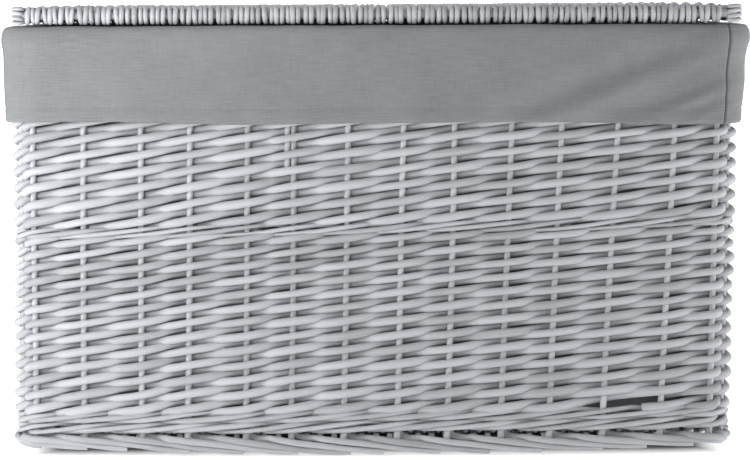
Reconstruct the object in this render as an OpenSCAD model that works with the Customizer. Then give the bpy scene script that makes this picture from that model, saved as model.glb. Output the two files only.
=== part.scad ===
// Rectangular willow hamper with a woven, hinged lid and a cloth liner whose cuff folds over the rim.
// X runs along the width, Y from front to back and Z up. The floor under the hamper is Z = 0.

/* [Body] */
// Width of the wicker at the rim
top_w = 602; // [480:1:740]
// Depth of the wicker at the rim
top_d = 400; // [320:1:500]
// Width of the wicker at the floor
base_w = 596; // [470:1:730]
// Depth of the wicker at the floor
base_d = 396; // [310:1:490]
// Height of the wicker body from the floor to the top of the rim border
body_h = 349; // [290:1:430]
// Thickness of the woven wall
wall_t = 17; // [14:0.5:20]
// Outside radius of the corners
corner_r = 24; // [21:1:34]
// How far the middle of the front stands ahead of its ends
front_bow = 6; // [0:0.5:12]
// How far the middle of each side stands out past its ends
side_bow = 3; // [0:0.5:8]

/* [Bands of the wall] */
// Height of the border that the hamper stands on
foot_h = 18; // [14:1:24]
// Height of the heavy wale above the foot
base_wale_h = 18; // [12:1:24]
// Height of the lower woven band
lower_band_h = 147; // [110:1:180]
// Height of the wale between the two bands
mid_wale_h = 9; // [6:1:14]
// Height of the border along the rim
rim_h = 10; // [8:0.5:14]

/* [Stakes] */
// Diameter of an upright stake
stake_d = 5; // [4:0.25:7]
// Stakes along the front, and along the back
long_stakes = 14; // [10:1:18]
// Stakes along each side
short_stakes = 9; // [6:1:12]
// Distance of the end stakes from the wall face round the corner
corner_stake_in = 19; // [17:0.5:26]
// Height of a stake's foot above the floor
stake_foot = 6; // [4:0.5:10]
// Distance of a stake's tip below the top of the rim
stake_tip_in = 3; // [2:0.5:6]
// Clearance all round a stake
stake_fit = 0.2; // [0.1:0.05:0.4]

/* [Base] */
// Height of the underside of the woven base
base_lift = 10; // [6:0.5:12]
// Thickness of the woven base
base_t = 12; // [10:0.5:16]
// Diameter of a base stick
base_stick_d = 8; // [6:0.5:9]
// Number of base sticks
base_sticks_n = 7; // [5:1:9]

/* [Liner] */
// Thickness that the cloth takes up
cloth_t = 2; // [1:0.25:3]
// Gap between the cloth and the wicker inside and on top
liner_gap = 0.3; // [0.2:0.1:1]
// Gap between the hanging cuff and the outside of the wicker
cuff_gap = 4; // [1:0.25:5]
// Height of the cuff that hangs outside
cuff_h = 79; // [50:1:110]

/* [Lid] */
// Width of the lid
lid_w = 592; // [481:1:741]
// Thickness of the lid
lid_t = 15; // [13:0.5:18]
// Gap between the lid and the cuff
lid_gap = 0.7; // [0.5:0.1:2]
// Diameter of a lid stick
lid_stick_d = 6.6; // [5:0.2:8]
// Sticks between the front stick and the hinge stick
lid_inner_n = 7; // [4:1:10]
// Depth of the turned ends of the lid's weavers, from the stick's middle
wrap_depth = 12; // [11:0.5:16]
// Width of the plait along each side of the lid
plait_w = 14; // [11:1:18]
// How far the sticks reach into the plaits
stick_grip = 10; // [7:0.5:10.5]

/* [Hinge loops] */
// Which space between rear stakes a loop stands in, counted from the corner
loop_space = 3; // [2:1:4]
// Width of a loop
loop_w = 12; // [8:1:18]
// Thickness of the twisted rod that makes a loop
loop_rod = 3.6; // [3:0.2:4.2]
// Clearance round the hinge stick
hinge_play = 0.3; // [0.2:0.05:0.5]
// Clearance of a loop from the wicker and cloth that it passes through
loop_gap = 0.8; // [0.5:0.1:1.5]

/* [Hidden] */
SIDES = ["front", "back", "left", "right"];

WILLOW = [0.78, 0.79, 0.81];
WILLOW_PALE = [0.86, 0.87, 0.89];
WILLOW_DARK = [0.66, 0.67, 0.70];
LINEN = [0.53, 0.55, 0.57];

// Heights where one band of the wall gives way to the next
z_wale = foot_h;
z_lower = z_wale + base_wale_h;
z_middle = z_lower + lower_band_h;
z_upper = z_middle + mid_wale_h;
z_rim = body_h - rim_h;

// Levels of the cloth and of the lid
z_floor_cloth = base_lift + base_t + liner_gap;
z_cuff_in = body_h + liner_gap;
z_cuff_top = z_cuff_in + cloth_t;
z_cuff_hem = z_cuff_top - cuff_h;
z_lid = z_cuff_top + lid_gap;
z_axis = z_lid + lid_t / 2;

// The hinge stick lies over the middle of the rear rim, and the front stick over the front rim
y_hinge = top_d / 2 - wall_t / 2;
y_front = -y_hinge;
wrap_r = lid_t / 2;
stick_r = lid_stick_d / 2;
stick_fit = 0.15;
eye_r = stick_r + hinge_play;
loop_r = eye_r + loop_rod;
neck_w = 13;
loop_x = (half_w(body_h) - corner_stake_in) * (1 - (2 * loop_space - 1) / (long_stakes - 1));
loop_under = loop_rod + loop_gap;

CORNER_STEPS = 5;
BOW_STEPS = 6;
SHARPEST = 2;
OVER = 1;

function mix(a, b, t) = a + (b - a) * t;
function half_w(z) = mix(base_w, top_w, z / body_h) / 2 - side_bow;
function half_front(z) = mix(base_d, top_d, z / body_h) / 2 - front_bow;
function half_back(z) = mix(base_d, top_d, z / body_h) / 2;
function bulge(u) = 1 - u * u;

function arc(cx, cy, r, from) =
    [for (i = [0 : CORNER_STEPS]) let (a = from + 90 * i / CORNER_STEPS) [cx + r * cos(a), cy + r * sin(a)]];

// The plan of the hamper at one height, set in from the outside of the wall. It runs anticlockwise.
function outline(z, inset) =
    let (x = half_w(z) - inset, f = half_front(z) - inset, b = half_back(z) - inset,
         r = max(corner_r - inset, SHARPEST), steps = [1 : BOW_STEPS - 1])
    concat(
        arc(-x + r, -f + r, r, 180),
        [for (i = steps) let (u = 2 * i / BOW_STEPS - 1) [u * (x - r), -f - front_bow * bulge(u)]],
        arc(x - r, -f + r, r, 270),
        [for (i = steps) let (u = 2 * i / BOW_STEPS - 1)
            [x + side_bow * bulge(u), mix(-f + r, b - r, (u + 1) / 2)]],
        arc(x - r, b - r, r, 0),
        arc(-x + r, b - r, r, 90),
        [for (i = steps) let (u = 1 - 2 * i / BOW_STEPS)
            [-x - side_bow * bulge(u), mix(-f + r, b - r, (u + 1) / 2)]]
    );

// Middle of stake i at a height. u runs from -1 to 1 along its side of the hamper.
function stake_at(side, i, z) =
    let (n = side == "front" || side == "back" ? long_stakes : short_stakes, u = 2 * i / (n - 1) - 1,
         x = half_w(z), f = half_front(z), b = half_back(z), mid = wall_t / 2)
    side == "front" ? [u * (x - corner_stake_in), -f - front_bow * bulge(u) + mid, z]
    : side == "back" ? [u * (x - corner_stake_in), b - mid, z]
    : let (y = mix(corner_stake_in - f, b - corner_stake_in, (u + 1) / 2), out = x + side_bow * bulge(u) - mid)
      side == "left" ? [-out, y, z] : [out, y, z];

function stake_count(side) = side == "front" || side == "back" ? long_stakes : short_stakes;

// A tapered solid that follows the plan between two heights
module loft(z0, z1, inset) {
    sliver = 0.001;
    hull() {
        translate([0, 0, z0]) linear_extrude(sliver) polygon(outline(z0, inset));
        translate([0, 0, z1 - sliver]) linear_extrude(sliver) polygon(outline(z1, inset));
    }
}

// The stretch of wall between two heights and two depths, all round
module shell(z0, z1, outer, inner) {
    difference() {
        loft(z0, z1, outer);
        loft(z0 - OVER, z1 + OVER, inner);
    }
}

// Where the mitres meet the middle of the depth, at one height
function mitre_x(z) = mix(base_w - base_d, top_w - top_d, z / body_h) / 2;

// The quarter of the plan that belongs to one side, for mitres that meet at m
module quarter_plan(side, m) {
    far = top_w;
    if (side == "front") polygon([[-m - far, -far], [m + far, -far], [m, 0], [-m, 0]]);
    else if (side == "back") polygon([[-m, 0], [m, 0], [m + far, far], [-m - far, far]]);
    else if (side == "left") polygon([[-m, 0], [-m - far, far], [-m - far, -far]]);
    else polygon([[m, 0], [m + far, -far], [m + far, far]]);
}

// The room of one side from the floor to above the cuff. Its mitres follow the corners as the walls taper.
module quarter(side) {
    sliver = 0.001;
    hull() for (z = [0, body_h + 4 * cloth_t])
        translate([0, 0, z]) linear_extrude(sliver) quarter_plan(side, mitre_x(z));
}

module rod(p, q, r, facets = 24) {
    v = q - p;
    translate(p) rotate([0, acos(v.z / norm(v)), atan2(v.y, v.x)])
        cylinder(h = norm(v), r = r, $fn = facets);
}

// The eight-sided way through the weave that a round stake is pushed down
module stake_ways(side, z0, z1) {
    sides = 8;
    r = (stake_d / 2 + stake_fit) / cos(180 / sides);
    for (i = [0 : stake_count(side) - 1]) rod(stake_at(side, i, z0), stake_at(side, i, z1), r, sides);
}

// Room for the loops where they pass through the wall and the cloth
module loop_rooms(z0, z1) {
    for (x = [-loop_x, loop_x])
        translate([x - loop_w / 2 - loop_gap, y_hinge - wall_t, z0])
            cube([loop_w + 2 * loop_gap, 2 * wall_t, z1 - z0]);
}

// One side of a woven band, bored for its stakes
module band(side, z0, z1) {
    foot = max(z0 - OVER, stake_foot - stake_fit);
    tip = min(z1 + OVER, body_h - stake_tip_in + stake_fit);
    difference() {
        intersection() {
            shell(z0, z1, 0, wall_t);
            quarter(side);
        }
        stake_ways(side, foot, tip);
    }
}

module foot_border(side) color(WILLOW_DARK) band(side, 0, z_wale);

module base_wale(side) color(WILLOW) band(side, z_wale, z_lower);

module lower_weave(side) color(WILLOW_PALE) band(side, z_lower, z_middle);

module middle_wale(side) color(WILLOW) band(side, z_middle, z_upper);

module upper_weave(side) color(WILLOW_PALE)
    if (side == "back") difference() {
        band(side, z_upper, z_rim);
        loop_rooms(z_rim - loop_under - liner_gap, body_h);
    }
    else band(side, z_upper, z_rim);

module rim_border(side) color(WILLOW_DARK) band(side, z_rim, body_h);

module stakes(side) color(WILLOW)
    for (i = [0 : stake_count(side) - 1])
        rod(stake_at(side, i, stake_foot), stake_at(side, i, body_h - stake_tip_in), stake_d / 2);

module base_stick_rods(r, over) {
    z = base_lift + base_t / 2;
    reach = base_w / 2 - side_bow - wall_t - liner_gap + over;
    pitch = (base_d - 2 * wall_t) / (base_sticks_n + 1);
    for (i = [1 : base_sticks_n]) {
        y = i * pitch - (base_d / 2 - wall_t);
        rod([-reach, y, z], [reach, y, z], r);
    }
}

module base_sticks() color(WILLOW_DARK) base_stick_rods(base_stick_d / 2, 0);

module base_weave() color(WILLOW_PALE) difference() {
    loft(base_lift, base_lift + base_t, wall_t + liner_gap);
    base_stick_rods(base_stick_d / 2 + stick_fit, wall_t);
}

module liner_side(side) color(LINEN)
    difference() {
        intersection() {
            shell(z_floor_cloth + cloth_t, z_cuff_in, wall_t + liner_gap, wall_t + liner_gap + cloth_t);
            quarter(side);
        }
        if (side == "back") loop_rooms(z_rim - loop_under - loop_gap, z_axis);
    }

module liner_floor() color(LINEN) loft(z_floor_cloth, z_floor_cloth + cloth_t, wall_t + liner_gap);

// The cuff lies over the rim and hangs down outside it
module cuff(side) color(LINEN)
    difference() {
        intersection() {
            loft(z_cuff_hem, z_cuff_top, -cuff_gap - cloth_t);
            quarter(side);
        }
        loft(z_cuff_hem - OVER, z_cuff_in, -cuff_gap);
        loft(z_cuff_in - OVER, z_cuff_top + OVER, wall_t + liner_gap + cloth_t);
        if (side == "back") loop_rooms(z_rim - loop_under - loop_gap, z_axis);
    }

// A loop of twisted rod: an eye round the hinge stick, and a frame round the rear rim border
module hinge_loop(x) {
    frame_y = wall_t / 2 + liner_gap;
    frame_top = -wrap_r - lid_gap / 2;
    window_top = body_h + liner_gap - z_axis;
    window_low = z_rim - liner_gap - z_axis;
    color(WILLOW) translate([x - loop_w / 2, y_hinge, z_axis]) rotate([90, 0, 90])
        linear_extrude(loop_w) difference() {
            union() {
                circle(r = loop_r, $fn = 48);
                translate([-neck_w / 2, window_top]) square([neck_w, -window_top]);
                translate([-frame_y - loop_rod, window_low - loop_rod])
                    square([2 * (frame_y + loop_rod), frame_top - window_low + loop_rod]);
            }
            circle(r = eye_r, $fn = 48);
            translate([-frame_y, window_low]) square([2 * frame_y, window_top - window_low]);
        }
}

// A stick along the lid's width, its ends held in the plaits
module lid_stick(y, r, over) {
    reach = lid_w / 2 - plait_w + stick_grip + over;
    rod([-reach, y, z_axis], [reach, y, z_axis], r);
}

function inner_stick_y(i) = mix(y_front, y_hinge, i / (lid_inner_n + 1));

module lid_front_stick() color(WILLOW) lid_stick(y_front, stick_r, 0);

module lid_hinge_stick() color(WILLOW) lid_stick(y_hinge, stick_r, 0);

module lid_inner_sticks() color(WILLOW) for (i = [1 : lid_inner_n]) lid_stick(inner_stick_y(i), stick_r, 0);

lid_inside = lid_w / 2 - plait_w;

module lid_weave() color(WILLOW_PALE) difference() {
    translate([-lid_inside, y_front + wrap_depth, z_lid])
        cube([2 * lid_inside, y_hinge - y_front - 2 * wrap_depth, lid_t]);
    for (i = [1 : lid_inner_n]) lid_stick(inner_stick_y(i), stick_r + stick_fit, OVER);
}

// The weavers' ends, turned round an edge stick. inward is 1 at the front and -1 at the hinge.
module wraps(y, inward) {
    difference() {
        union() {
            rod([-lid_inside, y, z_axis], [lid_inside, y, z_axis], wrap_r);
            translate([-lid_inside, inward > 0 ? y : y - wrap_depth, z_lid])
                cube([2 * lid_inside, wrap_depth, lid_t]);
        }
        lid_stick(y, stick_r + stick_fit, OVER);
    }
}

module lid_front_wraps() color(WILLOW_PALE) wraps(y_front, 1);

module lid_rear_wraps() color(WILLOW_PALE) difference() {
    wraps(y_hinge, -1);
    for (x = [-loop_x, loop_x])
        translate([x - loop_w / 2 - loop_gap, y_hinge - loop_r - loop_gap, z_lid - OVER])
            cube([loop_w + 2 * loop_gap, 2 * (loop_r + loop_gap), lid_t + 2 * OVER]);
}

// The plait that closes the lid at one side. way is -1 at the left and 1 at the right.
module lid_plait(way) {
    x = way > 0 ? lid_inside : -lid_inside - plait_w;
    color(WILLOW) difference() {
        union() {
            translate([x, y_front, z_lid]) cube([plait_w, y_hinge - y_front, lid_t]);
            for (y = [y_front, y_hinge]) rod([x, y, z_axis], [x + plait_w, y, z_axis], wrap_r);
        }
        for (y = [y_front, y_hinge]) lid_stick(y, stick_r + stick_fit, stick_fit);
        for (i = [1 : lid_inner_n]) lid_stick(inner_stick_y(i), stick_r + stick_fit, stick_fit);
    }
}

for (s = SIDES) {
    foot_border(s);
    base_wale(s);
    stakes(s);
    lower_weave(s);
    middle_wale(s);
    upper_weave(s);
    rim_border(s);
    liner_side(s);
    cuff(s);
}
base_sticks();
base_weave();
liner_floor();
hinge_loop(-loop_x);  // hinge_loop_left
hinge_loop(loop_x);  // hinge_loop_right
lid_front_stick();
lid_hinge_stick();
lid_inner_sticks();
lid_weave();
lid_front_wraps();
lid_rear_wraps();
lid_plait(-1);  // lid_left_plait
lid_plait(1);  // lid_right_plait
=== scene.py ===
"""A rectangular willow hamper: woven walls on upright stakes, a woven lid on twisted willow loops, and a
linen liner whose cuff folds over the rim. Everything is in metres, with +Z up and the front at -Y."""

import math

import bpy
import numpy as np
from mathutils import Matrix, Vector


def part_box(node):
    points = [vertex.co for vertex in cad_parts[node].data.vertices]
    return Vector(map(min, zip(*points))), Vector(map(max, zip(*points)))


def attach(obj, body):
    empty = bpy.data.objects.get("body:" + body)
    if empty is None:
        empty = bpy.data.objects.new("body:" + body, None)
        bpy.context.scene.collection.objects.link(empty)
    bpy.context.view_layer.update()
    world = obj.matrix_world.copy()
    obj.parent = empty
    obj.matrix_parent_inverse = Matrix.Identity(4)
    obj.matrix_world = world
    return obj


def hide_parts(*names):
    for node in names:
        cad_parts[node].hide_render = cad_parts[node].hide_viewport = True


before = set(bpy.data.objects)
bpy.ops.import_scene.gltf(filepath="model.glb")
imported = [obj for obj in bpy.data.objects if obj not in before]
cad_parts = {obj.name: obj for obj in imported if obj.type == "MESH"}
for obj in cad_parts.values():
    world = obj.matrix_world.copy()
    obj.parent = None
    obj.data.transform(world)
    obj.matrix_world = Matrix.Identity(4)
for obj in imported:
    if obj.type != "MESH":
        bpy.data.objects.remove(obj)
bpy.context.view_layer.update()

MM = 0.001
TURN = 2 * math.pi

# ---------------------------------------------------------------- sizes

WALL = 17 * MM
CORNER_R = 24 * MM
FRONT_BOW = 6 * MM
SIDE_BOW = 3 * MM
END_STAKE_IN = 19 * MM
LONG_STAKES, SHORT_STAKES = 14, 9
STAKES = 2 * (LONG_STAKES + SHORT_STAKES)
SIDES = {
    "front": (0, LONG_STAKES),
    "right": (LONG_STAKES, LONG_STAKES + SHORT_STAKES),
    "back": (LONG_STAKES + SHORT_STAKES, 2 * LONG_STAKES + SHORT_STAKES),
    "left": (2 * LONG_STAKES + SHORT_STAKES, STAKES),
}

# radii of the rods
WEAVER_BUTT, WEAVER_TIP = 3.65 * MM, 3.15 * MM
BASE_WALE_ROD, MIDDLE_WALE_ROD, RIM_ROD = 2.15 * MM, 1.85 * MM, 3.2 * MM
STAKE_ROD = 2.7 * MM
FOOT_ROD = 2.8 * MM

LOWER_ROUNDS, UPPER_ROUNDS = 13, 12
STAKES_A_ROUND = 2
STEPS_A_STAKE = 8


def heights(node):
    """The bottom and the top of a node of the frame."""
    return [corner.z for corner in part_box(node)]


FOOT_TOP = heights("foot_border_front")[1]
LOWER_Z, MIDDLE_Z = heights("lower_weave_front")
UPPER_Z = heights("upper_weave_front")[0]
RIM_Z, RIM_TOP = heights("rim_border_front")
CUFF_LOW, CUFF_TOP = heights("cuff_front")
FLOOR_CLOTH = heights("liner_floor")[1]
SLOT_LOW = heights("upper_weave_back")[1] - 6 * MM


def between(low, high, at):
    """A straight line through (low[0], low[1]) and (high[0], high[1]), read at one place."""
    return low[1] + (high[1] - low[1]) * (at - low[0]) / (high[0] - low[0])


def taper(foot_node, rim_node, corner, axis):
    """Half-sizes at the floor and at the rim, from two nodes of the frame."""
    foot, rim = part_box(foot_node)[corner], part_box(rim_node)[corner]
    ends = (FOOT_TOP, abs(foot[axis])), (RIM_TOP, abs(rim[axis]))
    return between(*ends, 0.0), between(*ends, RIM_TOP)


HALF_W = [h - SIDE_BOW for h in taper("foot_border_right", "rim_border_right", 1, 0)]
HALF_F = [h - FRONT_BOW for h in taper("foot_border_front", "rim_border_front", 0, 1)]
HALF_B = taper("foot_border_back", "rim_border_back", 1, 1)

hinge_lo, hinge_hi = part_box("lid_hinge_stick")
front_lo, front_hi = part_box("lid_front_stick")
AXIS_Y, AXIS_Z = (hinge_lo.y + hinge_hi.y) / 2, (hinge_lo.z + hinge_hi.z) / 2
LID_FRONT_Y = (front_lo.y + front_hi.y) / 2
LID_STICK_R = (hinge_hi.z - hinge_lo.z) / 2
LOOP_X = sum(corner.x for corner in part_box("hinge_loop_right")) / 2
LID_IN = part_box("lid_weave")[1].x

# ---------------------------------------------------------------- the plan of the wall


def noise(seed, waves=5, period=STAKES):
    """A smooth repeating curve of sines, about -1 to 1, as a function of the distance in stakes."""
    rng = np.random.default_rng(seed)
    turns, phases = rng.integers(1, 12, waves), rng.uniform(0, TURN, waves)
    weights = rng.uniform(0.5, 1, waves)
    weights = weights / weights.sum()

    def curve(t, drift=0.0):
        t = np.asarray(t, float)
        terms = zip(turns, phases, weights)
        return 1.6 * sum(w * np.sin(TURN * n * t / period + p + n * drift) for n, p, w in terms)

    return curve


def bump(distance, width):
    """1 at no distance, falling smoothly to nothing over a few widths."""
    return np.exp(-((distance / width) ** 2))


def stakes_from(t, place):
    """How far t lies past a place, in stakes, by the shorter way round."""
    return (t - place + STAKES / 2) % STAKES - STAKES / 2


def run_along(line):
    """The distance from the start of a line to each of its points."""
    return np.concatenate([[0], np.cumsum(np.hypot(*np.diff(line, axis=0).T))])


def plan(level, inset):
    """Points round the hamper at the floor (0) or the rim (1), set in from the outside of the wall."""
    x, f, b = HALF_W[level] - inset, HALF_F[level] - inset, HALF_B[level] - inset
    r = max(CORNER_R - inset, 2 * MM)
    u = np.linspace(-1, 1, 160)
    bulge, quarter = 1 - u * u, np.linspace(0, TURN / 4, 40)

    def corner(cx, cy, start):
        return np.column_stack([cx + r * np.cos(start + quarter), cy + r * np.sin(start + quarter)])

    depth = (b - r - (r - f)) / 2 * (u + 1) + r - f
    return np.vstack([
        np.column_stack([u * (x - r), -f - FRONT_BOW * bulge]),
        corner(x - r, r - f, -TURN / 4),
        np.column_stack([x + SIDE_BOW * bulge, depth]),
        corner(x - r, b - r, 0),
        np.column_stack([-u * (x - r), np.full_like(u, b)]),
        corner(r - x, b - r, TURN / 4),
        np.column_stack([-x - SIDE_BOW * bulge, depth[::-1]]),
        corner(r - x, r - f, TURN / 2),
    ])


def stake_places(level):
    """Where the stakes stand on the middle of the wall, going anticlockwise from the front left corner."""
    x, f, b = HALF_W[level], HALF_F[level], HALF_B[level]
    long_u, short_u = np.linspace(-1, 1, LONG_STAKES), np.linspace(-1, 1, SHORT_STAKES)
    mid, reach = WALL / 2, x - END_STAKE_IN
    depth = (b - END_STAKE_IN - (END_STAKE_IN - f)) / 2 * (short_u + 1) + END_STAKE_IN - f
    out = x + SIDE_BOW * (1 - short_u**2) - mid
    return np.vstack([
        np.column_stack([long_u * reach, -f - FRONT_BOW * (1 - long_u**2) + mid]),
        np.column_stack([out, depth]),
        np.column_stack([-long_u * reach, np.full(LONG_STAKES, b - mid)]),
        np.column_stack([-out, depth[::-1]]),
    ])


# front stakes that stand off their even places at foot and rim alike, in millimetres
STANDS_OFF = {1: -2.5, 2: 4.0, 3: -1.0, 4: 4.0, 5: -3.0, 12: 5.5}


class Ring:
    """The middle of the wall at one level, read by distance in stakes. Stakes stand a little unevenly, and
    the front ones lean more and more to the right."""

    def __init__(self, level, uneven, lean):
        line = plan(level, WALL / 2)
        line = np.vstack([line, line[:1]])
        along = run_along(line)
        keep = np.concatenate([[True], np.diff(along) > 1e-7])
        self.line, self.along = line[keep], along[keep]
        self.length = self.along[-1]
        places = stake_places(level)
        nearest = np.array([self.along[np.argmin(np.hypot(*(self.line - p).T))] for p in places])
        nearest[0] -= self.length if nearest[0] > self.length / 2 else 0
        rng = np.random.default_rng(40 + level)
        loose = np.ones(STAKES)
        for first, last in SIDES.values():
            loose[first] = loose[last - 1] = 0.25
        shift = rng.uniform(-uneven, uneven, STAKES) * loose
        for stake in range(1, LONG_STAKES - 1):
            shift[stake] += lean * stake / LONG_STAKES + STANDS_OFF.get(stake, 0) * MM
        self.stakes = nearest + shift

    def distance(self, t):
        """Distance along the wall of a place given in stakes."""
        t = np.asarray(t, float)
        laps = np.floor(t / STAKES)
        line = np.concatenate([self.stakes, [self.stakes[0] + self.length]])
        return np.interp(t - laps * STAKES, np.arange(STAKES + 1), line) + laps * self.length

    def point(self, s):
        s = np.mod(s, self.length)
        return np.column_stack([np.interp(s, self.along, self.line[:, k]) for k in (0, 1)])

    def outward(self, s):
        ahead, behind = self.point(s + 2 * MM), self.point(s - 2 * MM)
        d = ahead - behind
        d = d / np.hypot(*d.T)[:, None]
        return np.column_stack([d[:, 1], -d[:, 0]])


UNEVEN, STAKE_LEAN = 1.6 * MM, 5 * MM
FLOOR_RING, RIM_RING = Ring(0, UNEVEN, -STAKE_LEAN), Ring(1, UNEVEN, STAKE_LEAN)

# how far the work rises at the right-hand end, and how far the floor stands aside from the rim
LEAN, SKEW = 3.2 * MM, -4 * MM
sway, lift = noise(3), noise(4)


def on_wall(t, z, out, settle=True):
    """Points on the wall: t in stakes, z up, and out from the wall's middle. Towards the floor the wall
    stands aside by SKEW. Each rod has one sway, set by its starting height, and settled work rises to the
    right."""
    t, z = np.broadcast_arrays(np.asarray(t, float), np.asarray(z, float))
    up = np.clip(z / RIM_TOP, 0, 1)[:, None]
    s0, s1 = FLOOR_RING.distance(t), RIM_RING.distance(t)
    place = FLOOR_RING.point(s0) * (1 - up) + RIM_RING.point(s1) * up
    facing = FLOOR_RING.outward(s0) * (1 - up) + RIM_RING.outward(s1) * up
    out = np.asarray(out, float) + 0.7 * MM * sway(t, 9 * z[0]) * np.sin(math.pi * up[:, 0])
    place = place + facing * np.reshape(out, (-1, 1)) + (1 - up) * (SKEW, 0)
    if settle:
        middle = np.sin(math.pi * np.clip(z / RIM_Z, 0, 1)) ** 1.5
        z = z + middle * (LEAN * place[:, 0] / HALF_W[1] + 1.0 * MM * lift(t))
    return np.column_stack([place, z])


# ---------------------------------------------------------------- modelling


def deselect():
    bpy.ops.object.select_all(action="DESELECT")


def rods(name, paths, facets=3):
    """One mesh of closed round rods. A path is (points, radii); facets 2 gives 8 sides, 3 gives 10."""
    deselect()
    bpy.ops.curve.primitive_nurbs_path_add(location=(0, 0, 0))
    piece = bpy.context.object
    piece.name = piece.data.name = name
    curve = piece.data
    curve.splines.clear()
    curve.dimensions, curve.bevel_depth = "3D", MM
    curve.bevel_resolution, curve.use_fill_caps = facets, True
    for points, radii in paths:
        points = np.asarray(points, float)
        spline = curve.splines.new("POLY")
        spline.points.add(len(points) - 1)
        spline.points.foreach_set("co", np.column_stack([points, np.ones(len(points))]).ravel())
        radii = np.broadcast_to(np.asarray(radii, float) / MM, len(points))
        spline.points.foreach_set("radius", radii.copy())
    bpy.ops.object.convert(target="MESH")
    piece = bpy.context.object
    bpy.ops.object.mode_set(mode="EDIT")
    bpy.ops.mesh.select_all(action="SELECT")
    bpy.ops.mesh.remove_doubles(threshold=2e-6)
    bpy.ops.object.mode_set(mode="OBJECT")
    bpy.ops.object.shade_smooth_by_angle(angle=math.radians(50))
    deselect()
    return piece


def finish(piece, material, body, slot, *nodes):
    """Gives a piece its material and its body, and hides the nodes that it stands for. The slot is not used.
    """
    piece.data.materials.clear()
    piece.data.materials.append(material)
    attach(piece, body)
    if nodes:
        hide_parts(*nodes)
    return piece


# ---------------------------------------------------------------- materials


class Value:
    """A socket that takes part in sums, each of which adds a Math node."""

    def __init__(self, tree, socket):
        self.tree, self.socket = tree, socket

    def _math(self, operation, *values, clamp=False):
        node = self.tree.nodes.new("ShaderNodeMath")
        node.operation, node.use_clamp = operation, clamp
        for slot, value in zip(node.inputs, values):
            if isinstance(value, Value):
                self.tree.links.new(value.socket, slot)
            else:
                slot.default_value = value
        return Value(self.tree, node.outputs[0])

    def __add__(self, other):
        return self._math("ADD", self, other)

    def __sub__(self, other):
        return self._math("SUBTRACT", self, other)

    def __rsub__(self, other):
        return self._math("SUBTRACT", other, self)

    def __mul__(self, other):
        return self._math("MULTIPLY", self, other)

    __radd__, __rmul__ = __add__, __mul__

    def absolute(self):
        return self._math("ABSOLUTE", self)

    def larger(self, other):
        return self._math("MAXIMUM", self, other)

    def wave(self):
        return self._math("SINE", self)

    def clamped(self, low, high):
        """0 at low, 1 at high and straight between."""
        return self._math("MULTIPLY", self - low, 1 / (high - low), clamp=True)


class Shader:
    """A material's node tree with one Principled surface."""

    def __init__(self, name, **constants):
        self.material = bpy.data.materials.new(name)
        self.material.use_nodes = True
        self.tree = self.material.node_tree
        self.surface = self.tree.nodes["Principled BSDF"]
        for socket, value in constants.items():
            self.surface.inputs[socket.replace("_", " ")].default_value = value

    def node(self, kind, output=0, settings=None, **inputs):
        """Adds a node. Inputs are named by socket, with _ for a space, or n and a number, and take numbers,
        tuples or Values."""
        made = self.tree.nodes.new("ShaderNode" + kind)
        for key, value in (settings or {}).items():
            if key == "stops":
                ramp = made.color_ramp
                while len(ramp.elements) < len(value):
                    ramp.elements.new(0.5)
                for element, (place, tone) in zip(ramp.elements, value):
                    element.position, element.color = place, (*tone, 1)
            else:
                setattr(made, key, value)
        for key, value in inputs.items():
            numbered = key[0] == "n" and key[1:].isdigit()
            socket = made.inputs[int(key[1:]) if numbered else key.replace("_", " ")]
            if isinstance(value, Value):
                self.tree.links.new(value.socket, socket)
            else:
                socket.default_value = value
        return Value(self.tree, made.outputs[output])

    def feed(self, socket, value):
        self.tree.links.new(value.socket, self.surface.inputs[socket])

    def split(self, vector):
        """The first two parts of a vector."""
        first = self.node("SeparateXYZ", Vector=vector)
        return first, Value(self.tree, first.socket.node.outputs[1])

    def mix(self, amount, a, b):
        """Mixes two colours. A Mix node has its factor at input 0 and its colours at 6 and 7."""
        return self.node("Mix", 2, {"data_type": "RGBA"}, n0=amount, n6=a, n7=b)


def willow(name, tone, seed, gloss=0.5):
    """Pale grey paint on peeled willow: each rod has its own tone, with streaks and fine grain along it."""
    s = Shader(name, Specular_IOR_Level=0.25)
    uv = s.node("UVMap", settings={"uv_map": "UVMap"})
    island = s.node("NewGeometry", "Random Per Island")
    along = s.node("Mapping", Vector=uv, Scale=(5.0, 46.0, 1.0))
    own = {"noise_dimensions": "4D"}
    streaks = s.node("TexNoise", "Fac", own, Vector=along, W=island * 37.0 + seed,
                     Scale=1.0, Detail=4.0, Roughness=0.62)
    fine = s.node("Mapping", Vector=uv, Scale=(26.0, 60.0, 1.0))
    grain = s.node("TexNoise", "Fac", own, Vector=fine, W=island * 23.0 + seed,
                   Scale=1.0, Detail=3.0, Roughness=0.6)
    place = s.node("TexCoord", "Object")
    patches = s.node("TexNoise", "Fac", Vector=place, Scale=26.0, Detail=3.0, Roughness=0.55)
    scuffs = s.node("TexNoise", "Fac", Vector=place, Scale=240.0, Detail=3.0, Roughness=0.65)
    light = (island - 0.5) * 0.5 + (streaks - 0.5) * 0.8 + (patches - 0.5) * 0.6 + 0.5
    dark = tuple(c * 0.66 for c in tone)
    pale = tuple(min(1, c * 1.16) for c in tone)
    body = s.node("ValToRGB", settings={"stops": [(0.05, dark), (0.5, tone), (0.95, pale)]}, Fac=light)
    bare = (0.46, 0.42, 0.36)
    worn = scuffs.clamped(0.66, 0.74) * streaks.clamped(0.5, 0.62) * 0.45
    s.feed("Base Color", s.mix(worn, body, (*bare, 1)))
    s.feed("Roughness", gloss + (grain - 0.5) * 0.22 + worn * 0.3)
    height = grain * 0.5 + streaks * 0.35 + scuffs * 0.25
    s.feed("Normal", s.node("Bump", Height=height, Strength=0.32, Distance=0.0006))
    return s.material


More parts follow.
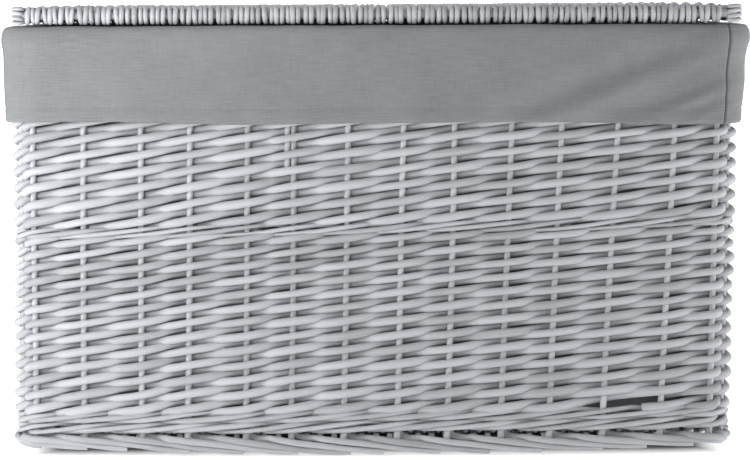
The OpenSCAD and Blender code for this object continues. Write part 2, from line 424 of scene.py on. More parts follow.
def linen(name, tone, seed):
    """Plain-weave cloth with slubs, on a UV map in metres: across is u and down is v."""
    s = Shader(name, Specular_IOR_Level=0.18, Sheen_Weight=0.12, Sheen_Roughness=0.5)
    uv = s.node("UVMap", settings={"uv_map": "UVMap"})
    across, down = s.split(uv)
    thread = 0.85 * MM
    pitch = TURN / thread
    bend = s.node("TexNoise", "Fac", Vector=uv, Scale=90.0, Detail=2.0)
    weft = (down * pitch + bend * 5.0).wave()
    warp = (across * pitch + bend * 5.0).wave()
    flat = {"noise_dimensions": "2D"}
    long_across = s.node("Mapping", Vector=uv, Scale=(55.0, 900.0, 1.0), Location=(seed, 0, 0))
    slub_across = s.node("TexNoise", "Fac", flat, Vector=long_across, Scale=1.0, Detail=3.0, Roughness=0.6)
    long_down = s.node("Mapping", Vector=uv, Scale=(900.0, 60.0, 1.0), Location=(0, seed, 0))
    slub_down = s.node("TexNoise", "Fac", flat, Vector=long_down, Scale=1.0, Detail=3.0, Roughness=0.6)
    fade = s.node("TexNoise", "Fac", flat, Vector=uv, Scale=18.0, Detail=5.0)
    threads = weft * 0.015 + warp * 0.015
    light = 0.5 + (slub_across - 0.5) * 0.95 + (slub_down - 0.5) * 0.55 + (fade - 0.5) * 0.5 + threads
    dark = tuple(c * 0.74 for c in tone)
    pale = tuple(min(1, c * 1.22) for c in tone)
    cloth = s.node("ValToRGB", settings={"stops": [(0.0, dark), (0.5, tone), (1.0, pale)]}, Fac=light)
    # painted shade: seams and the hem's stitch line darken towards a third of the cloth's tone, partly thread
    # and partly the shadow in their grooves
    sewn = s.node("Attribute", "Fac", {"attribute_name": "sewn"})
    s.feed("Base Color", s.mix(sewn * 0.8, cloth, (*(c * 0.3 for c in tone), 1)))
    s.feed("Roughness", 0.86 + (slub_across - 0.5) * 0.1)
    height = threads * 2.0 + slub_across * 0.6 + slub_down * 0.5
    s.feed("Normal", s.node("Bump", Height=height, Strength=0.35, Distance=0.0004))
    return s.material


WEAVE = willow("painted_willow_weave", (0.416, 0.426, 0.446), 1.0)
THICK = willow("painted_willow_foot", (0.365, 0.374, 0.391), 2.0)
STICK = willow("painted_willow_stick", (0.480, 0.490, 0.508), 3.0)
LID = willow("painted_willow_lid", (0.430, 0.440, 0.460), 4.0, 0.42)
LOOP = willow("painted_willow_loop", (0.420, 0.430, 0.450), 5.0)
LINEN = linen("grey_linen", (0.187, 0.194, 0.199), 1.0)

# ---------------------------------------------------------------- the wall

CORNERS = [last - 0.5 for _, last in SIDES.values()]
OVERLAP = 0.12


def side_of(t):
    """Which side of the hamper a place in stakes lies on."""
    t = (t + 0.5) % STAKES - 0.5
    return next(name for name, (first, last) in SIDES.items() if first - 0.5 <= t < last - 0.5)


def cut_at_corners(t0, t1, hidden):
    """Splits a run at the corners, each time at the nearest stake that the rod passes inside."""
    cuts, lap = [t0], math.floor(t0 / STAKES) * STAKES
    while lap < t1:
        for corner in CORNERS:
            near = [lap + corner + d for d in (-0.5, 0.5, -1.5, 1.5)]
            cut = next(t for t in near if hidden(t))
            if cuts[-1] + 0.6 < cut < t1 - 0.6:
                cuts.append(cut)
        lap += STAKES
    cuts.append(t1)
    return list(zip(cuts[:-1], cuts[1:]))


def lay(sides, t0, t1, hidden, path, fill):
    """Adds one rod's stretches to the sides that they lie on. path(t) gives z and out, and fill(t) gives the
    radius."""
    for a, b in cut_at_corners(t0, t1, hidden):
        start, end = (a if a == t0 else a - OVERLAP), (b if b == t1 else b + OVERLAP)
        t = np.linspace(start, end, max(4, round((end - start) * STEPS_A_STAKE)))
        z, out = path(t)
        sides[side_of((a + b) / 2)].append((on_wall(t, z, out), fill(t)))


def pressed(swing, flatness):
    """A swing from -1 to 1 with flatter crests, as of a rod pressed against what it crosses."""
    return swing * (1 + flatness - flatness * swing**2)


# how far the weavers tilt as they cross a stake, and how much of a butt shows where nothing hides it
TILT, BUTT_SHOWN = 0.55 * MM, 0.34


def french_band(z0, z1, rounds_up, seed, late=()):
    """A band of weavers, one for each stake, that climb together: each goes in front of one stake and behind
    the next, so that every stake is crossed at the same heights. They thin from butt to tip as they climb,
    and both ends lie behind a stake. A late one starts a round further on, and the next one's butt then
    shows."""
    rng = np.random.default_rng(seed)
    sides = {name: [] for name in SIDES}
    steep, flat = 1.06, 0.94
    first, last = z0 + 0.85 * WEAVER_BUTT, z1 - WEAVER_TIP - 0.4 * MM
    pitch = (last - first) / (rounds_up - 1)
    curl = WEAVER_TIP + STAKE_ROD - 1.2 * MM
    length = STAKES_A_ROUND * rounds_up - 1

    def climb(rounds):
        return pitch * (steep * rounds - (steep - flat) * rounds**2 / (2 * (rounds_up - 1)))

    for j in range(STAKES):
        wobble, phase = rng.uniform(0.15, 0.45) * MM, rng.uniform(0, TURN, 4)
        thick = rng.uniform(0.9, 1.08)
        t0, t1 = j - rng.uniform(0.82, 1.0), j + length + rng.uniform(-0.05, 0.15)
        if j in late:
            t0 += STAKES_A_ROUND
        elif j - 1 in late:
            t0 = j - BUTT_SHOWN

        def path(t, j=j, wobble=wobble, phase=phase):
            rounds = (t - j) / STAKES_A_ROUND
            swing = pressed(np.cos(math.pi * (t - j)), 0.22)
            z = first + climb(rounds) + wobble * np.sin(1.9 * t + phase[0])
            z = z + TILT * np.cos(2 * TURN * t / STAKES) * np.sin(math.pi * (t - j))
            z = z + 0.12 * MM * np.sin(TURN * (t - j) + phase[3])
            return z, curl * swing + wobble * np.sin(1.3 * t + phase[1]) - 0.2 * MM

        def fill(t, j=j, thick=thick, phase=phase):
            grown = WEAVER_BUTT + (WEAVER_TIP - WEAVER_BUTT) * np.clip((t - j) / length, 0, 1)
            return grown * thick * (1 + 0.05 * np.sin(2.3 * t + phase[2]) + 0.03 * np.sin(5.1 * t + phase[0]))

        lay(sides, t0, t1, lambda t, j=j: round(t - j) % 2 == 1, path, fill)
    return sides


def wale(sides, z0, height, rounds, radius, seed, start=37):
    """Three rods that each pass in front of two stakes and behind one, like a rope laid round the wall."""
    rng = np.random.default_rng(seed)
    beat = np.arange(7) / 2
    outs = np.array([1.0, 1.12, 1.0, -0.1, -1.0, -0.1, 1.0]) * (radius + STAKE_ROD * 0.9)
    ups = np.array([-0.28, -0.04, 0.24, 0.42, 0.10, -0.40, -0.28]) * height
    for m in range(3):
        phase = rng.uniform(0, TURN, 3)

        def path(t, m=m, phase=phase):
            beats = np.mod(t - start - m, 3)
            climb = height * (t - start) / STAKES
            out, up = np.interp(beats, beat, outs), np.interp(beats, beat, ups)
            up = up + 0.07 * height * np.sin(1.1 * t + phase[2])
            return z0 + climb + up, out + 0.3 * MM * np.sin(1.7 * t + phase[0])

        def fill(t, phase=phase):
            return radius * (1 + 0.09 * np.sin(0.9 * t + phase[1]) + 0.05 * np.sin(2.3 * t + phase[0]))

        lay(sides, start + m - 0.5, start + m - 0.5 + rounds * STAKES,
            lambda t, m=m: round(t - start - m) % 3 == 2, path, fill)
    return sides


def eased(keys, t):
    """A smooth curve through (place, value) keys."""
    places, values = np.array(keys, float).T
    k = np.clip(np.searchsorted(places, t, side="right") - 1, 0, len(places) - 2)
    u = np.clip((t - places[k]) / (places[k + 1] - places[k]), 0, 1)
    slope = np.gradient(values, places)
    gap = places[k + 1] - places[k]
    a, b = values[k], values[k + 1]
    return (a * (1 + 2 * u) * (1 - u) ** 2 + b * u * u * (3 - 2 * u)
            + gap * u * (1 - u) * (slope[k] * (1 - u) - slope[k + 1] * u))


CORNER_LIFT = 7 * MM


def corner_nearness(t):
    """1 at each corner of the hamper, falling to 0 a few stakes along."""
    return sum(bump(stakes_from(t, corner), 2.6) for corner in CORNERS)


def foot_border(seed):
    """The stakes' own butts, each bent out between its neighbours, laid down to the right and cut at the
    floor. The keys of a rod are (stakes along, height) and (stakes along, distance out)."""
    rng = np.random.default_rng(seed)
    sides = {name: [] for name in SIDES}
    low = FOOT_ROD * 1.04
    for k in range(STAKES):
        stop, lean = 2.95 + rng.uniform(-0.28, 0.2), rng.uniform(-0.6, 0.6) * MM
        bend = rng.uniform(-0.08, 0.08)
        thick = FOOT_ROD * rng.uniform(0.92, 1.07)
        crest = FOOT_TOP - 3.7 * MM
        heights = [(0.0, FOOT_TOP + 6 * MM), (0.06, FOOT_TOP), (0.2, crest + 0.4 * MM), (0.5 + bend, crest),
                   (1.1, crest - 2.8 * MM), (1.9, 7.2 * MM), (2.6, low + 0.8 * MM), (3.2, low)]
        outs = [(0.0, -3.0 * MM), (0.2, -4.6 * MM), (0.36, -2.0 * MM), (0.55 + bend, 4.2 * MM),
                (0.85, 6.1 * MM), (1.8, 4.1 * MM), (3.2, 1.6 * MM)]
        u = np.concatenate([np.linspace(0.0, 1.1, 20), np.linspace(1.25, stop, 14)])
        z = np.maximum(eased(heights, u) + lean * np.sin(u), low)
        z = z + CORNER_LIFT * np.clip(1 - z / FOOT_TOP, 0, 1) * corner_nearness(k + u)
        points = on_wall(k + u, z, eased(outs, u), settle=False)
        radii = thick * np.ones(len(u))
        radii[-1] *= 0.9
        sides[side_of(k + 0.6)].append((points, radii))
    return sides


DOUBLED = (5, 17, 30)


def wall_stakes():
    """Upright stakes, a few of them doubled by a short one pushed down beside them."""
    rng = np.random.default_rng(11)
    sides = {name: [] for name in SIDES}
    low, high = heights("stakes_front")
    low = max(low, FOOT_TOP - 5 * MM)
    short, beside = 115 * MM, 0.135
    for k in range(STAKES):
        z = np.linspace(low, high, 30)
        drift = 0.012 * np.sin(14 * z + rng.uniform(0, TURN))
        radii = STAKE_ROD * (1.03 - 0.18 * z / high)
        sides[side_of(k)].append((on_wall(k + drift, z, 0, settle=False), radii))
    z = np.linspace(high - short, high, 12)
    for k in DOUBLED:
        points = on_wall(k - beside + 0 * z, z, 0.4 * MM, settle=False)
        sides[side_of(k)].append((points, STAKE_ROD * 0.9 + 0 * z))
    return sides


def place_sides(sides, name, material, slot):
    for side, paths in sides.items():
        piece = rods(f"{name}_{side}_rods", paths)
        finish(piece, material, "basket", slot, f"{name}_{side}")


place_sides(foot_border(21), "foot_border", THICK, "foot_willow")
base_wale = {name: [] for name in SIDES}
WALE_ROUND = (LOWER_Z - FOOT_TOP) / 2
wale(base_wale, FOOT_TOP + 0.34 * WALE_ROUND, 0.96 * WALE_ROUND, 2, BASE_WALE_ROD, 31)
place_sides(base_wale, "base_wale", WEAVE, "woven_willow")
LATE = (LONG_STAKES - 3,)
lower_weave = french_band(LOWER_Z, MIDDLE_Z, LOWER_ROUNDS, 51, LATE)
place_sides(lower_weave, "lower_weave", WEAVE, "woven_willow")
middle_wale = {name: [] for name in SIDES}
wale(middle_wale, MIDDLE_Z + 0.5 * MM, UPPER_Z - MIDDLE_Z, 1, MIDDLE_WALE_ROD, 32)
place_sides(middle_wale, "middle_wale", WEAVE, "woven_willow")
place_sides(french_band(UPPER_Z, RIM_Z, UPPER_ROUNDS, 52), "upper_weave", WEAVE, "woven_willow")
rim_border = {name: [] for name in SIDES}
wale(rim_border, RIM_Z + 0.5 * MM, RIM_TOP - RIM_Z - 4 * MM, 1, RIM_ROD, 33)
place_sides(rim_border, "rim_border", THICK, "foot_willow")
place_sides(wall_stakes(), "stakes", STICK, "stick_willow")

# ---------------------------------------------------------------- the base


# spaces between the base sticks
BASE_GAPS = 6


def base_weavers():
    """Rods from front to back over and under the base sticks."""
    rng = np.random.default_rng(61)
    lo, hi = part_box("base_weave")
    sticks_lo, sticks_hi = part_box("base_sticks")
    middle, gap = (lo.z + hi.z) / 2, 4 * MM
    ys = np.linspace(lo.y + FRONT_BOW + 2 * MM, hi.y - 2 * MM, 60)
    first = sticks_lo.y + gap
    pitch = (sticks_hi.y - gap - first) / BASE_GAPS
    count, paths = 96, []
    for i in range(count):
        x = lo.x + SIDE_BOW + gap + (hi.x - lo.x - 2 * SIDE_BOW - 2 * gap) * i / (count - 1)
        phase = math.pi * ((ys - first) / pitch + i)
        z = middle + 3.6 * MM * np.cos(phase)
        sway_x = x + SKEW + 0.4 * MM * np.sin(30 * ys + rng.uniform(0, TURN))
        radius = 2.5 * MM * rng.uniform(0.92, 1.04)
        paths.append((np.column_stack([sway_x, ys, z]), radius * np.ones(len(ys))))
    return rods("base_weavers", paths, facets=2)


finish(base_weavers(), WEAVE, "basket", "woven_willow", "base_weave")

# ---------------------------------------------------------------- the lid

LID_ROD = 2.15 * MM
WRAP = LID_STICK_R + LID_ROD
INNER_STICKS = 7
STICK_PITCH = (AXIS_Y - LID_FRONT_Y) / (INNER_STICKS + 1)
STEPS_A_STICK = 8

# half the room that the lid's weave leaves for a hinge loop, and half the slot for it in the cloth
LOOP_ROOM, SLOT = 8.6 * MM, 8.2 * MM


def row_places(rng):
    """Where the lid's rows lie: in threes on the left and mostly in twos further right, with gaps between."""
    x, places = -LID_IN + LID_ROD, []
    while x < LID_IN - LID_ROD:
        group = 3 if rng.random() < (0.85 if x < -0.09 else 0.3) else 2
        for _ in range(group):
            if x < LID_IN - LID_ROD * 0.9:
                places.append(x)
            x += 2 * LID_ROD * rng.uniform(0.95, 1.02)
        x += rng.uniform(1.0, 2.3) * MM
    return places


def lid_row(x, parity, rng):
    """One weaver from the hinge stick to the front, over and under the sticks, and turned round the front
    stick."""
    near_loop = abs(abs(x) - LOOP_X) < LOOP_ROOM
    place = np.linspace(0, INNER_STICKS + 1, STEPS_A_STICK * (INNER_STICKS + 1) + 1)
    if near_loop:
        place = place[place < INNER_STICKS + 0.8]
    y = LID_FRONT_Y + place * STICK_PITCH
    swing = pressed(np.cos(math.pi * (place + parity)), 0.12)
    z = AXIS_Z + WRAP * swing * (1.0 + 0.16 * max(0.0, x / LID_IN))
    side = 1 - 2 * parity
    phase = rng.uniform(0, TURN)
    flat = np.column_stack([x + 0.35 * MM * np.sin(26 * y + phase), y, z])
    lean = 1.3 * MM * math.sin(23 * x + 1.0) * math.sin(7 * x) + rng.uniform(-0.9, 0.9) * MM
    wound = WRAP * rng.uniform(0.94, 1.06)
    angle = np.radians(np.arange(12, 262, 12.5))
    turn = np.column_stack([
        flat[0, 0] + lean * angle / math.pi,
        LID_FRONT_Y - wound * np.sin(angle),
        AXIS_Z + side * wound * np.cos(angle),
    ])
    parts = [turn[::-1], flat]
    if not near_loop:
        back = 1 - 2 * ((parity + INNER_STICKS + 1) % 2)
        parts.append(np.column_stack([
            flat[-1, 0] + lean * angle / math.pi,
            AXIS_Y + WRAP * np.sin(angle),
            AXIS_Z + back * WRAP * np.cos(angle),
        ]))
    points = np.vstack(parts)
    radius = LID_ROD * rng.uniform(0.82, 1.08)
    # the rods lie fuller behind the front wraps
    packed = np.clip((points[:, 1] - LID_FRONT_Y) / (30 * MM), 0, 1)
    return points, radius * (1 + 0.27 * packed + 0.03 * np.sin(40 * points[:, 1] + phase))


def lid_weavers():
    rng = np.random.default_rng(71)
    return rods("lid_weavers", [lid_row(x, i % 2, rng) for i, x in enumerate(row_places(rng))], facets=2)


def lid_plait(way):
    """Three strands plaited along one side of the lid. At the front they turn round the corner in a knot."""
    rng = np.random.default_rng(80 + way)
    narrow = 1.0 if way > 0 else 0.84
    middle, strand, paths = (LID_IN + 7 * MM * narrow) * way, 2.5 * MM, []
    y = np.linspace(LID_FRONT_Y - 4.6 * MM, AXIS_Y + 4.6 * MM, 190)
    close = np.clip(np.minimum(y - y[0], y[-1] - y) / (9 * MM), 0.25, 1)
    for k in range(3):
        beat = TURN * (y / (33 * MM) + k / 3)
        x = middle + 3.6 * MM * narrow * np.sin(beat) * close
        z = AXIS_Z + 4.2 * MM * np.sin(2 * beat + 0.4) * close
        taper_in = np.sqrt(np.clip(np.minimum(y - y[0], y[-1] - y) / (3 * MM), 0.06, 1))
        paths.append((np.column_stack([x, y, z]), strand * rng.uniform(0.95, 1.04) * taper_in))
    for step in range(4):
        angle = np.radians(np.linspace(-205, 15 + 12 * step, 20))
        reach = (5.2 - 0.35 * abs(step - 1.5)) * MM * narrow
        x = middle + way * (reach * np.cos(angle) + 0.4 * MM)
        knot_y = LID_FRONT_Y + 0.4 * MM + 5.4 * MM * np.sin(angle)
        z = AXIS_Z + (3.4 * (step - 1.5) + 0.9 * np.sin(angle + step)) * MM
        paths.append((np.column_stack([x, knot_y, z]), 1.75 * MM * rng.uniform(0.9, 1.08) * np.ones(len(x))))
    return rods(f"lid_{'left' if way < 0 else 'right'}_plait_strands", paths)


finish(lid_weavers(), LID, "lid", "lid_willow", "lid_weave", "lid_front_wraps", "lid_rear_wraps")
finish(lid_plait(-1), LID, "lid", "lid_willow", "lid_left_plait")
finish(lid_plait(1), LID, "lid", "lid_willow", "lid_right_plait")


LOOP_TURNS = 3


def unit(vectors):
    return vectors / np.linalg.norm(vectors, axis=1)[:, None]


def hinge_loop(name, middle):
    """A two-strand twist of thin willow, wound three times round the hinge stick and the rear rim border."""
    lo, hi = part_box(name)
    wound, spread, bend = 1.75 * MM, 3.9 * MM, 5 * MM
    strand, aside, twist = 1.0 * MM, 0.85 * MM, 11 * MM
    top, leg = LID_STICK_R + 0.4 * MM + wound, (hi.y - lo.y) / 2 - wound
    low = lo.z + wound - AXIS_Z
    arc = np.radians(np.arange(-10, 191, 10))
    eye = np.column_stack([top * np.cos(arc), top * np.sin(arc)])
    down = [(-leg, -11.5 * MM), (-leg, low + bend), (-leg + 0.3 * bend, low + 0.3 * bend), (-leg + bend, low)]
    outline = np.vstack([eye, down, [(-y, z) for y, z in down[::-1]]])
    outline = np.vstack([outline, outline[:1]])
    along = run_along(outline)
    s = np.linspace(0, LOOP_TURNS * along[-1], 420)
    y, z = (np.interp(np.mod(s, along[-1]), along, outline[:, k]) for k in (0, 1))
    x = middle + spread * (2 * s / s[-1] - 1)
    core = np.column_stack([x, AXIS_Y + y, AXIS_Z + z])
    heading = unit(np.gradient(core, axis=0))
    sideways = np.tile([1.0, 0, 0], (len(s), 1))
    outward = unit(np.cross(heading, sideways))
    paths = []
    for k in (0, math.pi):
        spin = (TURN * s / twist + k)[:, None]
        turned = np.cos(spin) * sideways + np.sin(spin) * outward
        paths.append((core + aside * turned, strand + 0 * s))
    return rods(name + "_twist", paths, facets=2)


for loop, at in (("hinge_loop_left", -LOOP_X), ("hinge_loop_right", LOOP_X)):
    finish(hinge_loop(loop, at), LOOP, "basket", "loop_willow", loop)

for node in ("lid_front_stick", "lid_hinge_stick", "lid_inner_sticks", "base_sticks"):
    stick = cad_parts[node]
    stick.data.materials.clear()
    stick.data.materials.append(STICK)

# ---------------------------------------------------------------- the liner

# where the cuff's seams lie, in stakes
SEAMS = [13.08, 22.1, 36.1, 45.05]
folds = [noise(90 + i, waves=6, period=1.0) for i in range(4)]


def seam_pinch(t, width):
    """1 at each corner seam, falling away on both sides."""
    return sum(bump(stakes_from(t, seam), width) for seam in SEAMS)


def gathered_places(count):
    """Places round the wall, 0 to STAKES, that lie closer together near the seams."""
    t = np.linspace(0, STAKES, 9201)
    near = seam_pinch(t, 0.22)
    weight = np.concatenate([[0], np.cumsum(1 + 22 * (near[1:] + near[:-1]) / 2)])
    return np.interp(np.linspace(0, 1, count + 1), weight / weight[-1], t)


def grid(name, columns, rows, size):
    """A flat grid, with its points and the corners of its UV map as arrays."""
    deselect()
    bpy.ops.mesh.primitive_grid_add(x_subdivisions=columns, y_subdivisions=rows, size=size,
                                    location=(0, 0, 0))
    piece = bpy.context.object
    piece.name = piece.data.name = name
    points = np.zeros(len(piece.data.vertices) * 3)
    piece.data.vertices.foreach_get("co", points)
    layer = piece.data.uv_layers[0]
    layer.name = "UVMap"
    corners = np.zeros(len(layer.data) * 2)
    layer.data.foreach_get("uv", corners)
    return piece, points.reshape(-1, 3), corners.reshape(-1, 2)


def set_uv(piece, corners):
    piece.data.uv_layers[0].data.foreach_set("uv", np.asarray(corners, float).ravel())


def ring_grid(name, columns, rows, ring, height):
    """A grid wound into a band: t runs once round in stakes, v runs down, and the UV map is in metres."""
    piece, points, corners = grid(name, columns, rows, 2)
    places = gathered_places(columns)
    u, v = (points[:, 0] + 1) / 2, (1 - points[:, 1]) / 2
    corner_t = places[np.rint(corners[:, 0] * columns).astype(int)]
    set_uv(piece, np.column_stack([ring.distance(corner_t), corners[:, 1] * height]))
    return piece, places[np.rint(u * columns).astype(int)], v


def thicken(piece, thickness):
    """Joins a band's two ends and gives the cloth its thickness."""
    deselect()
    piece.select_set(True)
    bpy.context.view_layer.objects.active = piece
    bpy.ops.object.mode_set(mode="EDIT")
    bpy.ops.mesh.select_all(action="SELECT")
    bpy.ops.mesh.remove_doubles(threshold=1e-5)
    bpy.ops.object.mode_set(mode="OBJECT")
    solid = piece.modifiers.new("cloth", "SOLIDIFY")
    solid.thickness, solid.offset = thickness, 0
    bpy.ops.object.modifier_apply(modifier=solid.name)
    bpy.ops.object.shade_smooth()
    deselect()


def set_points(piece, points):
    piece.data.vertices.foreach_set("co", np.asarray(points, float).ravel())
    piece.data.update()


def cut_slots(piece):
    """Opens the cloth where the hinge loops pass through it."""
    deselect()
    piece.select_set(True)
    bpy.context.view_layer.objects.active = piece
    bpy.ops.object.mode_set(mode="EDIT")
    bpy.ops.mesh.select_mode(type="FACE")
    bpy.ops.mesh.select_all(action="DESELECT")
    bpy.ops.object.mode_set(mode="OBJECT")
    for face in piece.data.polygons:
        c = face.center
        at_back = c.y > HALF_B[1] - 2 * CORNER_R
        face.select = at_back and c.z > SLOT_LOW and abs(abs(c.x) - LOOP_X) < SLOT
    bpy.ops.object.mode_set(mode="EDIT")
    bpy.ops.mesh.delete(type="FACE")
    bpy.ops.mesh.select_mode(type="VERT")
    bpy.ops.object.mode_set(mode="OBJECT")


def mark_seam_thread_and_shade(piece, amount):
    """Stores where the cloth's material darkens it: along the seams and the hem's stitch line, partly as
    thread and partly as painted shade in their grooves.
    """
    layer = piece.data.attributes.new("sewn", "FLOAT", "POINT")
    layer.data.foreach_set("value", np.clip(np.asarray(amount, float), 0, 1))


def creases(along, down):
    """Soft slanting creases towards the right of the front, and a broad fold on the left. Both distances are
    in metres, along the rim from the left corner and down from the top."""
    slope_along, slope_down = 0.92, 0.39
    right, below = along - 0.48, down - 0.045
    run, across = slope_along * right - slope_down * below, slope_down * right + slope_along * below
    patch = bump(run, 0.1) * bump(across, 0.03) * np.sin(across * 170 + 0.9)
    small = bump(along - 0.535, 0.022) * bump(down - 0.058, 0.018) * np.sin(across * 420)
    broad = bump(along - 0.22, 0.09) * np.sin(30 * along + 60 * down)
    return (4.0 * patch + 1.2 * small + 0.8 * broad) * MM


# the last point of the cuff's section before its cloth turns under
CUFF_TURN = 9


def cuff_section(inside, outside, over, edge, hem):
    """The cuff's section, as (out, z): up inside the rim, over it, down outside and under at the hem."""
    hung = outside - 0.8 * MM
    return np.array([
        (inside, over - 7 * MM), (inside, over - 3 * MM), (inside + 1 * MM, over - 0.8 * MM),
        (inside + 3 * MM, over), (outside - 4.5 * MM, over), (outside - 1.2 * MM, over - 1.0 * MM),
        (outside, over - 4 * MM), (outside + 0.5 * MM, over - 14 * MM), (hung, edge + 12 * MM),
        (hung, edge + 0.9 * MM), (hung - 0.9 * MM, edge + 0.5 * MM), (hung - 1.7 * MM, edge + 1.2 * MM),
        (hung - 1.5 * MM, edge + hem),
    ])


def cuff():
    """The cuff, with soft folds, a stitched hem and a pinched seam near each corner. Its seams and hem line
    are darkened, partly as thread and partly as painted shade in their grooves.
    """
    inside, outside = -WALL / 2 - 1.6 * MM, WALL / 2 + 4.8 * MM
    over, edge, hem = CUFF_TOP - 0.9 * MM, CUFF_LOW - 1.0 * MM, 11.5 * MM
    section = cuff_section(inside, outside, over, edge, hem)
    run = run_along(section)
    piece, t, v = ring_grid("liner_cuff", 780, 60, RIM_RING, run[-1])
    down, u = v * run[-1], t / STAKES
    out, z = (np.interp(down, run, section[:, k]) for k in (0, 1))
    outer = out > 0
    hang = np.clip((over - z) / (over - edge), 0, 1) * outer
    # one drift all the way down, so that this fold stands upright
    ripple = 0.75 * MM * folds[0](u, 3 * hang[0]) + 0.8 * MM * folds[1](2 * u) * hang
    ripple = ripple + 0.35 * MM * np.sin(9 * TURN * u + 5 * hang) * np.sin(math.pi * hang)
    ripple = ripple + creases(RIM_RING.distance(t), over - z) * outer
    lumps = 0.3 * MM * np.cos(TURN * t) * bump(hang - 0.05, 0.12)
    stitch_groove = bump(z - edge - hem, 0.8 * MM) * (out > outside - 3 * MM) * (down <= run[CUFF_TURN])
    puffed = 1.6 * MM * bump(hang - 0.13, 0.09) * corner_nearness(t)
    left_end, right_end = bump(stakes_from(t, 0) + 0.5, 3.5), bump(t - LONG_STAKES + 0.5, 3.5)
    swing = (2.0 * left_end - 2.6 * right_end) * MM * hang
    pinched = 1.4 * MM * seam_pinch(t, 0.05) * outer
    out = out + ripple * (0.2 + hang) + lumps - 0.6 * MM * stitch_groove + puffed + swing - pinched
    z = z + 1.3 * MM * folds[2](u) * hang**2 + 0.35 * MM * folds[3](u * 3) * (1 - hang) * (out > -WALL / 4)
    z = z + hang**3 * MM * (2.6 * left_end - 0.9 * right_end)
    set_points(piece, on_wall(t, z, out, settle=False))
    # painted shade: darker along each seam and, more faintly, along the hem's stitch line, partly thread and
    # partly the shadow in their grooves
    mark_seam_thread_and_shade(piece, seam_pinch(t, 0.036) * (out > 0) + 0.2 * stitch_groove)
    cut_slots(piece)
    thicken(piece, 0.9 * MM)
    return piece


def liner_walls():
    """The bag's four walls, from the rim down to the floor."""
    top, low = CUFF_TOP - 6 * MM, FLOOR_CLOTH - 1 * MM
    length, height = FLOOR_RING.length - TURN * WALL / 2, top - low
    piece, t, v = ring_grid("liner_walls", 520, 70, FLOOR_RING, height)
    u, z = t / STAKES, top - v * height
    slack = np.sin(math.pi * v) ** 0.7
    sag = 2.4 * (0.6 + 0.5 * folds[1](u, 4)) + 1.0 - 0.8 * folds[0](3 * u + 0.2 * v) - seam_pinch(t, 0.06)
    out = -WALL / 2 - 1.7 * MM - sag * slack * MM
    set_points(piece, on_wall(t, z, out, settle=False))
    cut_slots(piece)
    thicken(piece, 0.8 * MM)
    return piece


def liner_floor():
    """The bag's floor, with soft wrinkles."""
    lo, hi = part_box("liner_floor")
    width, depth = hi.x - lo.x - 2 * SIDE_BOW - 2 * MM, hi.y - lo.y - FRONT_BOW - 2 * MM
    middle = (lo.y + FRONT_BOW + hi.y) / 2
    piece, points, corners = grid("liner_floor_cloth", 140, 90, 1)
    x, y = points[:, 0] * width, points[:, 1] * depth
    edge = np.clip(np.minimum(width / 2 - abs(x), depth / 2 - abs(y)) / (30 * MM), 0, 1)
    r = CORNER_R - WALL
    for sx in (-1, 1):
        for sy in (-1, 1):
            dx, dy = sx * x - width / 2 + r, sy * y - depth / 2 + r
            far = (dx > 0) & (dy > 0)
            shrink = np.where(far, np.maximum(dx, dy) / np.maximum(np.hypot(dx, dy), 1e-9), 1)
            x = np.where(far, sx * (width / 2 - r + dx * shrink), x)
            y = np.where(far, sy * (depth / 2 - r + dy * shrink), y)
    z = (lo.z + hi.z) / 2 + 0.5 * MM * folds[2](x + 0.3 * y) * edge + 0.4 * MM * folds[3](y - 0.4 * x) * edge
    set_uv(piece, corners * (width, depth))
    set_points(piece, np.column_stack([x + SKEW, y + middle, z]))
    thicken(piece, 0.8 * MM)
    return piece


ALL_ROUND = ("front", "back", "left", "right")
finish(liner_floor(), LINEN, "basket", "linen", "liner_floor")
finish(liner_walls(), LINEN, "basket", "linen", *(f"liner_{s}" for s in ALL_ROUND))
finish(cuff(), LINEN, "basket", "linen", *(f"cuff_{s}" for s in ALL_ROUND))

# ---------------------------------------------------------------- studio


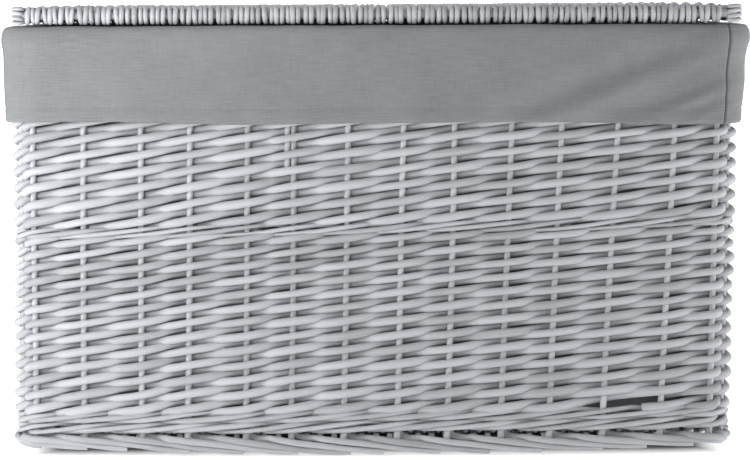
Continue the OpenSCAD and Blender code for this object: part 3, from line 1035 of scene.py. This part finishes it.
def studio():
    """A white floor that sweeps up into a wall and glows around the hamper, a small lamp at the left front, a
    larger one further off at the right, and soft light from the front and from above."""
    wall_height, sweep_radius = 8, 2.5
    deselect()
    bpy.ops.mesh.primitive_plane_add(size=22, location=(0, 4.4, -0.6 * MM))
    floor = bpy.context.object
    floor.name = "studio_floor"
    bpy.ops.object.mode_set(mode="EDIT")
    bpy.ops.mesh.select_all(action="DESELECT")
    bpy.ops.object.mode_set(mode="OBJECT")
    for vertex in floor.data.vertices:
        vertex.select = vertex.co.y > 0
    for edge in floor.data.edges:
        edge.select = all(floor.data.vertices[v].co.y > 0 for v in edge.vertices)
    bpy.ops.object.mode_set(mode="EDIT")
    bpy.ops.mesh.extrude_region_move(TRANSFORM_OT_translate={"value": (0, 0, wall_height)})
    bpy.ops.object.mode_set(mode="OBJECT")
    bevel = floor.modifiers.new("sweep", "BEVEL")
    bevel.width, bevel.segments = sweep_radius, 24
    bpy.ops.object.modifier_apply(modifier=bevel.name)
    bpy.ops.object.shade_smooth()
    bpy.ops.object.transform_apply(location=True)
    paper = Shader("glowing_studio_paper", Base_Color=(0.92, 0.92, 0.92, 1), Roughness=0.95, Emission_Strength=1.0)
    # painted light: the floor glows white beside and behind the hamper and more dimly in front of it, which
    # leaves a darker zone there, and not at all beneath it
    x, y = paper.split(paper.node("TexCoord", "Object"))
    beside, behind = x.absolute().clamped(0.265, 0.29), y.clamped(0.17, 0.22)
    before = y.clamped(-0.155, -0.18) * 0.65 - y.clamped(-0.25, -0.45) * 0.3 + y.clamped(-0.8, -1.6) * 0.1
    around = beside.larger(behind).larger(before)
    black, white = (0.0, 0.0, 0.0, 1), (1.0, 1.0, 1.0, 1)
    paper.feed("Emission Color", paper.mix(around, black, white))
    floor.data.materials.append(paper.material)

    def area(name, place, target, size, power):
        bpy.ops.object.light_add(type="AREA", location=place)
        lamp = bpy.context.object
        lamp.name = name
        lamp.data.shape, lamp.data.size, lamp.data.size_y = "RECTANGLE", size, size
        lamp.data.energy = power
        away = lamp.location - Vector(target)
        lamp.rotation_euler = away.to_track_quat("Z", "Y").to_euler()

    area("key", (-0.64, -0.64, 0.36), (-0.2, 0, 0.2), 0.5, 5.3)
    area("fill", (2.0, -0.55, 0.4), (0.2, 0, 0.2), 0.9, 21)
    area("front", (-0.5, -3.4, 0.55), (0, 0, 0.2), 2.2, 9)
    area("top", (0, 0.2, 2.6), (0, 0, 0), 2.0, 12)

    world = bpy.data.worlds.new("studio_air")
    bpy.context.scene.world = world
    world.use_nodes = True
    air = world.node_tree.nodes["Background"].inputs
    air["Color"].default_value, air["Strength"].default_value = (1, 1, 1, 1), 0.22
    bpy.context.scene.view_settings.view_transform = "Standard"


VIEW_WIDTH = 0.607


def camera():
    """A long lens, level with the lid and turned down to the middle of the hamper. The picture is as wide as
    VIEW_WIDTH at the front wall."""
    aside = -1.2 * MM
    bpy.ops.object.camera_add(location=(aside, -2.4, 0.372))
    view = bpy.context.object
    bpy.context.scene.camera = view
    target = Vector((aside, -0.2, 0.1857))
    view.rotation_euler = (view.location - target).to_track_quat("Z", "Y").to_euler()
    view.rotation_euler.rotate_axis("Z", math.radians(-0.25))
    distance = (view.location - target).length
    view.data.sensor_width = 36
    view.data.lens = view.data.sensor_width * distance / VIEW_WIDTH
    view.data.clip_start, view.data.clip_end = 0.05, 40


studio()
camera()
